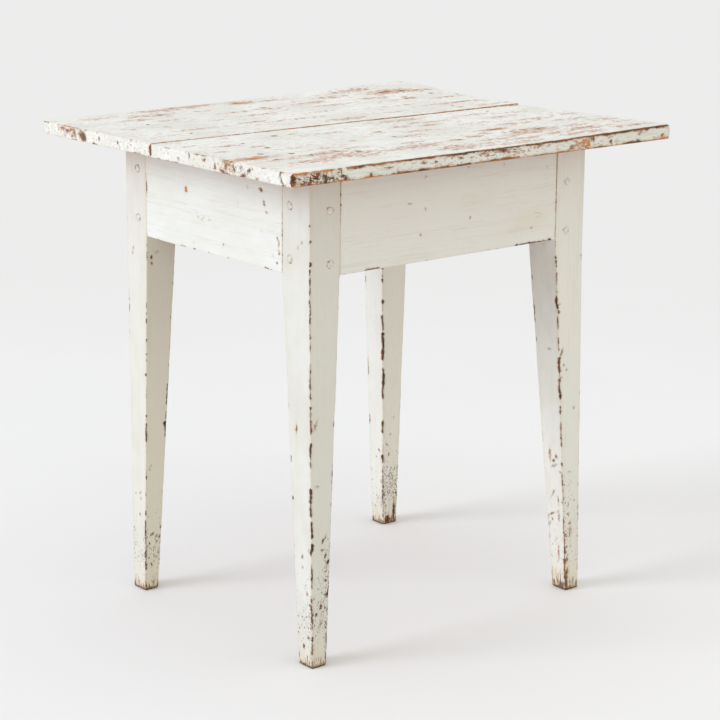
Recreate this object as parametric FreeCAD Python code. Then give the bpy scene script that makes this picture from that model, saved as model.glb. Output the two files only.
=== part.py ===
import FreeCAD, Part
import os

# A small painted farmhouse side table: a two-board top nailed down on a pegged frame with four
# tapered legs. Millimetres, +Z up, +X along the longer side, -Y towards the front apron.
# The origin is on the floor, under the middle of the top's bounding box.

# Top: two boards side by side, sawn a little out of square, with an open joint between them
height = 740.0
top_thickness = 19.0
top_length = 733.0
top_width = 630.0
front_board_right_end = 356.0
right_end_at_joint = 352.0
left_rear_corner = (-363.5, 301.5)
right_rear_corner_y = 311.0
rear_edge_middle_x = 15.0
joint_y_left = 13.0
joint_y_right = 7.0
joint_width_left = 3.5
joint_width_right = 5.0
board_corner_radius = 4.0

# Frame under the top: outer faces of the legs, and aprons flush with them
frame_length = 532.0
frame_depth = 449.0
frame_offset_x = -5.0
frame_offset_y = -7.0
apron_height = 149.0
apron_thickness = 22.0

# Tenons on the apron ends, and the pegs that lock them
tenon_thickness = 8.0
tenon_setback = 7.0
tenon_shoulder_low = 6.0
tenon_shoulder_high = 15.0
tenon_stop = 16.0
peg_radius = 5.0
peg_length = 28.0
peg_spacing = 75.0

# Nails through the boards: shank and flat head, flush with the top
nail_length = 45.0
nail_radius = 1.4
nail_head_radius = 3.0
nail_head_thickness = 1.5

underside = height - top_thickness
apron_low = underside - apron_height
frame_left = frame_offset_x - frame_length / 2
frame_front = frame_offset_y - frame_depth / 2

# Each leg: which side of the frame it stands on in X and Y, how far its corner is off the
# frame's rectangle, its square section under the top, its foot, and how far the foot leans.
legs = {
    "front_left_leg": {
        "side": (-1, -1), "shift": (0.0, 0.0), "post": (54.0, 61.0), "foot": (26.0, 31.0), "lean": (2.0, -4.0),
    },
    "front_right_leg": {
        "side": (1, -1), "shift": (0.0, 0.0), "post": (58.0, 60.0), "foot": (27.0, 30.0), "lean": (11.0, -4.0),
    },
    "rear_left_leg": {
        "side": (-1, 1), "shift": (0.0, 0.0), "post": (54.0, 53.0), "foot": (25.0, 32.0), "lean": (-4.0, -5.0),
    },
    "rear_right_leg": {
        "side": (1, 1), "shift": (-2.5, 5.5), "post": (57.0, 52.0), "foot": (30.0, 30.0), "lean": (0.0, 0.0),
    },
}

# Each apron: the axis it runs along, the side of the frame it is on, its two legs, and for each
# end how far the pegs are from the leg's outer edge and how high the lower peg is.
aprons = {
    "front_apron": {
        "axis": 0, "inward": 1, "legs": ("front_left_leg", "front_right_leg"),
        "ends": ("left", "right"), "peg_edge": (36.0, 36.0), "peg_low": (590.0, 584.0),
    },
    "rear_apron": {
        "axis": 0, "inward": -1, "legs": ("rear_left_leg", "rear_right_leg"),
        "ends": ("left", "right"), "peg_edge": (36.0, 36.0), "peg_low": (592.0, 591.0),
    },
    "left_apron": {
        "axis": 1, "inward": 1, "legs": ("front_left_leg", "rear_left_leg"),
        "ends": ("front", "rear"), "peg_edge": (44.0, 31.5), "peg_low": (595.0, 598.0),
    },
    "right_apron": {
        "axis": 1, "inward": -1, "legs": ("front_right_leg", "rear_right_leg"),
        "ends": ("front", "rear"), "peg_edge": (40.0, 32.0), "peg_low": (593.0, 589.0),
    },
}

# Nail groups: places in plan, from the frame's front left corner
nails = {
    "front_board_left_nails": ((26.0, 29.0), (11.0, 166.0)),
    "front_board_right_nails": ((521.0, 90.0), (521.0, 206.0)),
    "rear_board_left_nails": ((11.0, 292.0), (11.0, 404.0)),
    "rear_board_right_nails": ((519.0, 286.0), (518.0, 398.0)),
}


def prism(points, low, high):
    """An upright solid with the plan outline of the points."""
    corners = [FreeCAD.Vector(x, y, low) for x, y in points]
    face = Part.Face(Part.makePolygon(corners + corners[:1]))
    return face.extrude(FreeCAD.Vector(0, 0, high - low))


def leg_corner(leg):
    """The outer corner of a leg under the top."""
    middle = (frame_offset_x, frame_offset_y)
    half = (frame_length / 2, frame_depth / 2)
    return [middle[i] + leg["side"][i] * half[i] + leg["shift"][i] for i in (0, 1)]


def leg_section(leg, corner, size, z):
    """The rectangle of a leg at one height, from its outer corner inwards."""
    inner = [corner[i] - leg["side"][i] * size[i] for i in (0, 1)]
    x_low, x_high = sorted((corner[0], inner[0]))
    y_low, y_high = sorted((corner[1], inner[1]))
    plan = ((x_low, y_low), (x_high, y_low), (x_high, y_high), (x_low, y_high))
    corners = [FreeCAD.Vector(x, y, z) for x, y in plan]
    return Part.makePolygon(corners + corners[:1])


def leg_blank(leg):
    """A straight post beside the aprons, tapered below them down to the foot."""
    corner = leg_corner(leg)
    foot_corner = [corner[i] + leg["lean"][i] for i in (0, 1)]
    foot = leg_section(leg, foot_corner, leg["foot"], 0.0)
    knee = leg_section(leg, corner, leg["post"], apron_low)
    taper = Part.makeLoft([foot, knee], True, True)
    post = Part.Face(knee).extrude(FreeCAD.Vector(0, 0, apron_height))
    return taper.fuse(post).removeSplitter()


def shoulders(apron):
    """Where an apron's outer face meets its two legs, as (along, across) pairs."""
    axis = apron["axis"]
    points = []
    for name, direction in zip(apron["legs"], (1, -1)):
        corner = leg_corner(legs[name])
        along = corner[axis] + direction * legs[name]["post"][axis]
        points.append((along, corner[1 - axis]))
    return points


def apron_block(apron, start, stop, near, far, low, high):
    """A length of an apron's board, from near to far behind its outer face."""
    (first, first_face), (last, last_face) = shoulders(apron)
    slope = (last_face - first_face) / (last - first)
    plan = []
    for along, depth in ((start, near), (stop, near), (stop, far), (start, far)):
        across = first_face + slope * (along - first) + apron["inward"] * depth
        plan.append((along, across) if apron["axis"] == 0 else (across, along))
    return prism(plan, low, high)


def tenon(apron, end):
    """The tongue on one end of an apron that fills its leg's mortise."""
    axis = apron["axis"]
    shoulder = shoulders(apron)[end][0]
    length = legs[apron["legs"][end]]["post"][axis] - tenon_stop
    start, stop = ((shoulder - length, shoulder), (shoulder, shoulder + length))[end]
    low = apron_low + tenon_shoulder_low
    high = underside - tenon_shoulder_high
    return apron_block(apron, start, stop, tenon_setback, tenon_setback + tenon_thickness, low, high)


def apron_blank(apron):
    """An apron board with a tenon on each end."""
    (first, _), (last, _) = shoulders(apron)
    board = apron_block(apron, first, last, 0.0, apron_thickness, apron_low, underside)
    return board.fuse([tenon(apron, 0), tenon(apron, 1)]).removeSplitter()


def peg_pair(apron, end):
    """The two round pegs driven through one end's mortise and tenon, from the leg's outer face."""
    axis = apron["axis"]
    corner = leg_corner(legs[apron["legs"][end]])
    place = list(corner)
    place[axis] += (1, -1)[end] * apron["peg_edge"][end]
    direction = [0, 0, 0]
    direction[1 - axis] = apron["inward"]
    pegs = []
    for lift in (0.0, peg_spacing):
        start = FreeCAD.Vector(place[0], place[1], apron["peg_low"][end] + lift)
        pegs.append(Part.makeCylinder(peg_radius, peg_length, start, FreeCAD.Vector(*direction)))
    return pegs


def nail(place):
    """A flat-headed nail driven down until its head is flush with the top."""
    x, y = frame_left + place[0], frame_front + place[1]
    shank_base = FreeCAD.Vector(x, y, height - nail_length)
    head_base = FreeCAD.Vector(x, y, height - nail_head_thickness)
    shank = Part.makeCylinder(nail_radius, nail_length - nail_head_thickness, shank_base)
    head = Part.makeCylinder(nail_head_radius, nail_head_thickness, head_base)
    return shank.fuse(head)


def board(outline):
    """A top board of the outline, with its upright corners rounded."""
    blank = prism(outline, underside, height)
    upright = [edge for edge in blank.Edges if abs(edge.tangentAt(edge.FirstParameter).z) > 0.9]
    return blank.makeFillet(board_corner_radius, upright)


def front_board():
    """The wider board, over the front apron."""
    front, left = -top_width / 2, -top_length / 2
    return board((
        (left, front),
        (front_board_right_end, front),
        (right_end_at_joint, joint_y_right - joint_width_right / 2),
        (left, joint_y_left - joint_width_left / 2),
    ))


def rear_board():
    """The narrower board, over the rear apron; its rear edge bows and its right end runs out of square."""
    return board((
        (left_rear_corner[0], joint_y_left + joint_width_left / 2),
        (right_end_at_joint, joint_y_right + joint_width_right / 2),
        (top_length / 2, right_rear_corner_y),
        (rear_edge_middle_x, top_width / 2),
        left_rear_corner,
    ))


def drilled(wood, cutters):
    """The wood with each cutter's space removed, as one solid."""
    return wood.cut(cutters).Solids[0]


def make_parts():
    """Every piece of the table, by name."""
    pegs = {}
    tenons = []
    for name, apron in aprons.items():
        for end in (0, 1):
            pegs[name + "_" + apron["ends"][end] + "_pegs"] = peg_pair(apron, end)
            tenons.append(tenon(apron, end))
    nail_groups = {name: [nail(place) for place in places] for name, places in nails.items()}
    all_pegs = [peg for group in pegs.values() for peg in group]
    all_nails = [one for group in nail_groups.values() for one in group]

    parts = {name: drilled(leg_blank(leg), tenons + all_pegs + all_nails) for name, leg in legs.items()}
    for name, apron in aprons.items():
        parts[name] = drilled(apron_blank(apron), all_pegs + all_nails)
    parts["front_top_board"] = drilled(front_board(), all_nails)
    parts["rear_top_board"] = drilled(rear_board(), all_nails)
    for name, group in {**pegs, **nail_groups}.items():
        parts[name] = Part.makeCompound(group)
    return parts


os.makedirs("parts", exist_ok=True)
for name, shape in make_parts().items():
    shape.exportStep("parts/" + name + ".step")
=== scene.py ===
"""The looks of a small painted farmhouse side table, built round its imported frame.

Lengths are in millimetres until a mesh is written, when they turn into metres.
"""
import itertools
import math

import bpy
import numpy as np
from mathutils import Matrix, Vector


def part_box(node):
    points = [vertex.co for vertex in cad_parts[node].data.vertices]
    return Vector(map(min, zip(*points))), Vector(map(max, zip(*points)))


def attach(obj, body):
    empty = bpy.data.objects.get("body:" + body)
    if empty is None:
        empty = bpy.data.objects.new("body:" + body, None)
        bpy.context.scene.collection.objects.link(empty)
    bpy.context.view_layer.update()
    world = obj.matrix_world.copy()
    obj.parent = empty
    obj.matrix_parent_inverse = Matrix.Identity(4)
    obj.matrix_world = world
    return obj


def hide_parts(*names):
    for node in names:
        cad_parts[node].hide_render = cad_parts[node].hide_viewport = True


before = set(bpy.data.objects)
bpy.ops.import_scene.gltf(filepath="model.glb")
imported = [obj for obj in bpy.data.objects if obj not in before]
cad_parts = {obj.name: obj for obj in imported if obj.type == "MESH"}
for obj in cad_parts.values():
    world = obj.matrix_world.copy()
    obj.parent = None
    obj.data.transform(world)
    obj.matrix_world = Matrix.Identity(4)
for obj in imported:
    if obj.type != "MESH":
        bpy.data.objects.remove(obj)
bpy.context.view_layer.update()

MILLIMETRE = 0.001

# The six sides of a piece, and the two axes that lie in each of them
SIDES = ("left", "right", "front", "rear", "low", "high")
IN_PLANE = {"left": (1, 2), "right": (1, 2), "front": (0, 2), "rear": (0, 2), "low": (0, 1), "high": (0, 1)}

# Mesh: the usual grid spacing, the closer one at pegs, and the lines beside an arris
GRID = 2.6
FINE_GRID = 0.9
BESIDE_ARRIS = (0.0, 0.6, 1.3, 2.2, 3.4, 5.0)

# How near a side of its piece a point counts as on it
ON_SIDE = 1.5

# The depth field far inside bare wood and far from it
SOLID_WOOD = -8.0
SOUND_PAINT = 12.0

# Joinery, as on the frame's own parts
PEG_RADIUS = 5.0
PEG_PROUD = 0.5
TENON_THICKNESS = 8.0
TENON_SETBACK = 7.0
TENON_SHOULDER_LOW = 6.0
TENON_SHOULDER_HIGH = 15.0
TENON_STOP = 16.0

# Gaps that show between an apron and its legs, and a tenon's play in its mortise and its root in the board
JOINT_GAP = 0.35
TIGHT_GAP = 0.05
TENON_END_PLAY = 0.5
TENON_EDGE_PLAY = 0.3
TENON_FACE_PLAY = 0.2
TENON_ROOT = 0.5

# How far out of a board's rounded corner its square corner is, along each axis
BOARD_CORNER_INSET = 1.2

# How many flat sides make a round piece
ROUND_SIDES = 40


# ---------------------------------------------------------------- numbers through space

def smooth(values, start, end):
    """0 before start and 1 after end, turning gently between them; start may be above end."""
    share = np.clip((np.asarray(values, float) - start) / (end - start), 0.0, 1.0)
    return share * share * (3 - 2 * share)


def noise(points, cell, seed):
    """Smooth random values from 0 to 1 through space, the same for one place, cell size and seed."""
    scaled = np.asarray(points, float) / cell
    base = np.floor(scaled).astype(np.int64)
    part = scaled - base
    part = part * part * (3 - 2 * part)
    total = np.zeros(len(scaled))
    for corner in itertools.product((0, 1), repeat=3):
        place = base + np.array(corner)
        mixed = place[:, 0] * 73856093 ^ place[:, 1] * 19349663 ^ place[:, 2] * 83492791 ^ seed * 40503
        mixed = (mixed ^ (mixed >> 13)) * 1274126177 & 0x7FFFFFFF
        value = ((mixed ^ (mixed >> 15)) & 0xFFFF) / 65535
        weight = np.where(np.array(corner) == 1, part, 1 - part).prod(1)
        total += value * weight
    return total


def noise_along(values, cell, seed):
    """Smooth random values from 0 to 1 along a line."""
    return noise(np.stack([values, values * 0, values * 0], 1), cell, seed)


# ---------------------------------------------------------------- what the frame says

def cad_corners(node):
    """All the corners of a CAD node's mesh, in millimetres."""
    return np.array([v.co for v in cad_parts[node].data.vertices], float) / MILLIMETRE


def corners_at(node, height):
    """The least and greatest x and y of a CAD node at one height, in millimetres."""
    places = cad_corners(node)
    level = places[np.abs(places[:, 2] - height) < 0.5]
    return level[:, :2].min(0), level[:, :2].max(0)


def cad_box(node):
    """A CAD node's lowest and highest corners, in millimetres."""
    return tuple(np.array(corner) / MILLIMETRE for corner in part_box(node))


def solid_places(node, axis):
    """The least and greatest corner of each of the two solids in a CAD node of pegs or nails."""
    places = cad_corners(node)
    order = np.unique(places[:, axis].round(2))
    gap = np.argmax(np.diff(order))
    split = (order[gap] + order[gap + 1]) / 2
    groups = [places[places[:, axis] < split], places[places[:, axis] > split]]
    return [(group.min(0), group.max(0)) for group in groups]


UNDERSIDE = cad_box("front_left_leg")[1][2]
TOP = cad_box("front_top_board")[1][2]
APRON_LOW = cad_box("front_apron")[0][2]
APRON_THICKNESS = cad_box("front_apron")[1][1] - cad_box("front_apron")[0][1]
LEGS = ("front_left_leg", "front_right_leg", "rear_left_leg", "rear_right_leg")
POSTS = {leg: corners_at(leg, UNDERSIDE) for leg in LEGS}
FEET = {leg: corners_at(leg, 0.0) for leg in LEGS}


# ---------------------------------------------------------------- mesh making

def grid_lines(low, high, exact=(), fine=()):
    """Grid lines across a piece: closer beside its ends and at fine places, and on each exact place."""
    fixed = [low + d for d in BESIDE_ARRIS] + [high - d for d in BESIDE_ARRIS] + list(exact)
    for centre, reach in fine:
        fixed += list(np.arange(centre - reach, centre + reach + 0.01, FINE_GRID))
    fixed = sorted(value for value in fixed if low <= value <= high)
    kept = [fixed[0]]
    for value in fixed[1:]:
        wanted = value in exact or value == high
        if value - kept[-1] > (0.01 if wanted else 0.3):
            kept.append(value)
    lines = []
    for start, end in zip(kept, kept[1:]):
        count = max(1, round((end - start) / GRID))
        lines += list(np.linspace(start, end, count, endpoint=False))
    return np.array(lines + [high])


def cell_surface(lines, solid):
    """The skin of a block of cells: the corners it uses, in the lines' units, and its four-sided faces."""
    counts = [len(axis_lines) for axis_lines in lines]
    filled = np.pad(solid, 1)
    quads = []
    for axis, side in itertools.product(range(3), (0, 1)):
        beyond = np.roll(filled, 1 - 2 * side, axis)
        cells = np.argwhere(filled & ~beyond) - 1
        cells[:, axis] += side
        across, up = np.eye(3, dtype=int)[(axis + 1) % 3], np.eye(3, dtype=int)[(axis + 2) % 3]
        ring = [cells, cells + across, cells + across + up, cells + up]
        if side == 0:
            ring.reverse()
        quads.append(np.stack([(r[:, 0] * counts[1] + r[:, 1]) * counts[2] + r[:, 2] for r in ring], 1))
    faces = np.concatenate(quads)
    used, renumbered = np.unique(faces, return_inverse=True)
    index = np.stack(np.unravel_index(used, counts), 1)
    corners = np.stack([lines[axis][index[:, axis]] for axis in range(3)], 1)
    return corners, renumbered.reshape(faces.shape)


def mesh_object(name, corners, faces):
    """An object with a smooth-shaded mesh of corners in millimetres."""
    mesh = bpy.data.meshes.new(name)
    mesh.from_pydata((corners * MILLIMETRE).tolist(), [], [list(face) for face in faces])
    mesh.validate()
    mesh.shade_smooth()
    piece = bpy.data.objects.new(name, mesh)
    bpy.context.scene.collection.objects.link(piece)
    return piece


def normals_of(piece):
    """The direction that each corner of a mesh faces."""
    found = np.zeros(len(piece.data.vertices) * 3, np.float32)
    piece.data.vertices.foreach_get("normal", found)
    return found.reshape(-1, 3).astype(float)


def move_corners(piece, corners):
    """Puts a mesh's corners at new places, in millimetres."""
    piece.data.vertices.foreach_set("co", (corners * MILLIMETRE).astype(np.float32).ravel())
    piece.data.update()


def write_fields(piece, **fields):
    """Stores each named number per corner, for the materials to read; one number goes to every corner."""
    for name, values in fields.items():
        attribute = piece.data.attributes.new(name, "FLOAT", "POINT")
        attribute.data.foreach_set("value", np.resize(np.float32(values), len(piece.data.vertices)))


# ---------------------------------------------------------------- timber

class Timber:
    """One sawn and painted piece of wood: a box of grid lines, its way to its real shape, and its wear.

    Its marks hold, under "edges", the bare lengths of each arris as (from, to, width, and a tone for some).
    Under "chips", "rubs", "stains", "flaky" and "dents" they hold ovals on each side, as (along, across,
    length, width, value, and a turn in degrees for some). A chip's value is its wood's tone, from dark at 0
    to orange at 1, a dent's is its depth, and the others' is their strength.
    """

    def __init__(self, name, grain, size, place, seed, marks, taper=None):
        self.name = name
        self.grain = grain
        self.size = np.array(size, float)
        self.place = place
        self.seed = seed
        self.marks = marks
        self.taper = taper or (lambda points: np.ones((len(points), 2)))
        self.warp = lambda points: np.zeros(len(points))
        self.reach = [(0.0, length) for length in size]
        self.exact = [[], [], []]
        self.fine = [[], [], []]
        self.rooms = []
        self.tongues = []
        self.pegs = []
        self.bare_sides = ()
        self.round = 1.5
        self.edge_age = 0.6
        self.ragged = 0.4
        self.quiet = (None, 0, 1)
        self.foot = False

    def add_block(self, blocks, low, high):
        """Adds a room or a tongue, with grid lines on its sides."""
        blocks.append((low, high))
        for lines, ends in zip(self.exact, zip(low, high)):
            lines += ends

    def cells(self):
        """The grid lines of each axis, and which cells between them hold wood."""
        lines = [grid_lines(*self.reach[axis], self.exact[axis], self.fine[axis]) for axis in range(3)]
        middles = np.meshgrid(*[(line[1:] + line[:-1]) / 2 for line in lines], indexing="ij")
        inside = lambda low, high: np.all([(m > a) & (m < b) for m, a, b in zip(middles, low, high)], axis=0)
        solid = inside((0, 0, 0), self.size)
        for low, high in self.tongues:
            solid |= inside(low, high)
        for low, high in self.rooms:
            solid &= ~inside(low, high)
        return lines, solid

    def side_distances(self, points):
        """How far each point of the box is from each of its six sides, in real millimetres."""
        scale = np.column_stack([self.taper(points), np.ones(len(points))])
        low = points * scale
        high = (self.size - points) * scale
        return np.stack([low[:, 0], high[:, 0], low[:, 1], high[:, 1], low[:, 2], high[:, 2]], 1)

    def rounded(self, points, distances, real):
        """The box's points with its arrises eased over, more at the corners and less at the foot."""
        scale = np.column_stack([self.taper(points), np.ones(len(points))])
        radius = self.round * (0.55 + 0.9 * noise(real, 23, self.seed))
        radius += 1.3 * np.maximum(0, noise(real, 9, self.seed + 1) - 0.62) / 0.38
        radius += smooth(np.sort(distances, 1)[:, 2], 9, 2)
        if self.foot:
            radius *= 1 - 0.45 * smooth(real[:, 2], 14, 4)
            radius *= 1 - 0.6 * smooth(real[:, 2], APRON_LOW - 14, APRON_LOW + 6)
        reach = np.minimum(radius[:, None] / scale, self.size / 2.2)
        inner = np.clip(points, reach, self.size - reach)
        offset = (points - inner) / reach
        length = np.linalg.norm(offset, axis=1)
        inside = np.all((points >= -1e-6) & (points <= self.size + 1e-6), axis=1)
        moved = inside & (length > 1e-6)
        result = points.copy()
        result[moved] = (inner + offset / np.maximum(length, 1e-9)[:, None] * reach)[moved]
        return result

    def ovals(self, kind, distances, real, reach=ON_SIDE):
        """For each oval of one kind: the points on its side, how far out they are (1 on the rim), its lesser
        size and its value."""
        for side, marks in self.marks.get(kind, {}).items():
            mine = distances[:, SIDES.index(side)] < reach
            first, second = IN_PLANE[side]
            for along, across, length, width, value, *turn in marks:
                angle = math.radians(turn[0] if turn else 0)
                u, v = real[mine, first] - along, real[mine, second] - across
                long_way = u * math.cos(angle) + v * math.sin(angle)
                short_way = v * math.cos(angle) - u * math.sin(angle)
                spread = np.hypot(long_way / (length / 2), short_way / (width / 2))
                yield mine, spread, min(length, width), value

    def peg_ends(self, distances, real):
        """For each peg end: the points on its side, a place round its rim, and how far out of the rim."""
        for side, along, across in self.pegs:
            mine = distances[:, SIDES.index(side)] < ON_SIDE
            first, second = IN_PLANE[side]
            u, v = real[mine, first] - along, real[mine, second] - across
            yield mine, np.arctan2(v, u) * 3 + along, np.hypot(u, v) - PEG_RADIUS - 0.4

    def arris_wear(self, distances, real):
        """How far each point is from its arris's bare wood (below zero inside), and that wood's tone."""
        order = np.sort(np.argsort(distances, 1)[:, :2], 1)
        nearest = np.sort(distances, 1)[:, 1]
        depth = np.full(len(real), SOUND_PAINT)
        tone = np.full(len(real), self.marks.get("tone", 0.25))
        for first, second in itertools.combinations(range(6), 2):
            mine = (order[:, 0] == first) & (order[:, 1] == second)
            if first // 2 == second // 2 or not mine.any():
                continue
            axis = 3 - first // 2 - second // 2
            along = real[mine, axis]
            seed = self.seed * 17 + first * 7 + second
            width = 3.4 * noise_along(along, 8, seed) + 2.6 * noise_along(along, 37, seed + 1) - 4.6
            width += self.edge_age
            if axis == self.quiet[0]:
                width -= 1.3 * smooth(along, *self.quiet[1:])
            for start, end, wide, *wood in self.marks["edges"].get(SIDES[first] + " " + SIDES[second], ()):
                window = smooth(along, start - 2, start + 2) * smooth(along, end + 2, end - 2)
                width = np.maximum(width, (wide + 2.5) * window - 2.5)
                if wood:
                    tone[mine] += (wood[0] - tone[mine]) * window * smooth(nearest[mine], 8, 3)
            width += 1.9 * self.ragged * (noise_along(along, 3.4, seed + 5) - 0.5)
            lean = 1.3 * self.ragged * (noise_along(along, 17, seed + 6) - 0.5)
            lean = np.where(distances[mine, first] < distances[mine, second], lean, -lean)
            depth[mine] = nearest[mine] + 0.9 - width - lean * np.maximum(width, 0)
        return depth, tone

    def bare_wood(self, distances, real):
        """How far each point is from bare wood (below zero inside it), and the tone of the wood there."""
        depth, tone = self.arris_wear(distances, real)
        for mine, spread, size, value in self.ovals("chips", distances, real):
            outside = (spread - 1) * size / 2
            nearer = (outside < depth[mine]) & (outside < 3)
            tone[mine] = np.where(nearer, value, tone[mine])
            depth[mine] = np.minimum(depth[mine], outside)
        for mine, round_rim, ring in self.peg_ends(distances, real):
            width = 3.0 * noise_along(round_rim, 2.0, self.seed + 31) - 1.5
            depth[mine] = np.minimum(depth[mine], np.abs(ring) + 0.9 - width)
        nearest = np.sort(distances, 1)[:, 1]
        for side in self.bare_sides:
            mine = distances[:, SIDES.index(side)] < 0.01
            depth[mine] = np.minimum(depth[mine], 3.0 - nearest[mine])
            tone[mine] = np.where(nearest[mine] > 1.5, 0.7, tone[mine])
        if self.foot:
            depth = np.minimum(depth, real[:, 2] * 0.5 - 1.0)
        inside_joint = np.abs(np.min(distances, 1)) > 0.01
        return np.clip(np.where(inside_joint, SOLID_WOOD, depth), SOLID_WOOD, SOUND_PAINT), tone

    def rubbing(self, distances, real):
        """How much the paint is rubbed through; below zero keeps it whole."""
        rub = np.zeros(len(real))
        for mine, spread, _, value in self.ovals("rubs", distances, real):
            strength = value * np.exp(-0.7 * spread ** 3)
            rub[mine] = np.where(np.abs(strength) > np.abs(rub[mine]), strength, rub[mine])
        return rub

    def dirt(self, distances, real):
        """Grime in the corners, at the foot and in stains."""
        height = real[:, 2]
        dirt = smooth(np.sort(distances, 1)[:, 1], 7, 0) * 0.15
        if self.foot:
            dirt += 0.4 * smooth(height, 24, 0) + 0.22 * smooth(height, 70, 5)
        for mine, spread, _, value in self.ovals("stains", distances, real):
            dirt[mine] += value * np.exp(-spread ** 3)
        return dirt

    def specks(self, distances, real):
        """How dense the small flakes are: more beside the arrises, low on the legs and in flaky places."""
        height = real[:, 2]
        speck = 0.35 * smooth(np.sort(distances, 1)[:, 1], 9, 1)
        if self.foot:
            speck += smooth(height, 270, 60) * (1 - 0.35 * smooth(height, 55, 20))
        for mine, spread, _, value in self.ovals("flaky", distances, real):
            speck[mine] += value * np.exp(-spread ** 2)
        return speck

    def relief(self, real, depth, distances):
        """How far each point stands in or out: planed waves, grain, flaked paint, dents and peg rims."""
        stretch = np.ones(3)
        stretch[self.grain] = 0.05
        waves = 0.5 * (noise(real, 70, self.seed + 2) - 0.5)
        ridges = 0.22 * (noise(real * stretch, 3.2, self.seed + 3) - 0.5)
        out = waves + ridges - 0.35 * smooth(depth, 0.8, -0.8)
        for mine, spread, _, deep in self.ovals("dents", distances, real, 2 * ON_SIDE):
            out[mine] -= deep * np.exp(-spread ** 2 * 1.5)
        for mine, _, ring in self.peg_ends(distances, real):
            out[mine] -= 0.7 * np.exp(-(ring / 0.8) ** 2)
        return out

    def build(self, material):
        """The piece as an object, with its fields and its material."""
        points, faces = cell_surface(*self.cells())
        real = self.place(points)
        distances = self.side_distances(points)
        depth, tone = self.bare_wood(distances, real)
        shaped = self.place(self.rounded(points, distances, real))
        piece = mesh_object(self.name + "_wood", shaped, faces)
        shaped = shaped + normals_of(piece) * self.relief(real, depth, distances)[:, None]
        shaped[:, 2] += self.warp(real)
        if self.foot:
            shaped[:, 2] = np.maximum(shaped[:, 2], 0.0)
        move_corners(piece, shaped)
        # The last field marks the side that faces the front, where the material paints shade into the coat
        write_fields(
            piece, depth=depth, tone=tone, rub=self.rubbing(distances, real),
            speck=self.specks(distances, real), dirt=self.dirt(distances, real),
            facing=smooth(distances[:, SIDES.index("front")], 3, 0))
        piece.data.materials.append(material)
        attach(piece, "root")
        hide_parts(self.name)
        return piece


# ---------------------------------------------------------------- shader building

def screen_colour(red, green, blue):
    """A colour given as screen values from 0 to 255, in the linear units that shaders use."""
    return tuple(((value / 255 + 0.055) / 1.055) ** 2.4 for value in (red, green, blue)) + (1.0,)


class Number:
    """A number that a node gives at each point of a surface; + and * add the nodes that work it out."""

    def __init__(self, shader, socket):
        self.shader = shader
        self.socket = socket

    def __add__(self, other):
        return self.shader.math("ADD", self, other)

    def __mul__(self, other):
        return self.shader.math("MULTIPLY", self, other)


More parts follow.
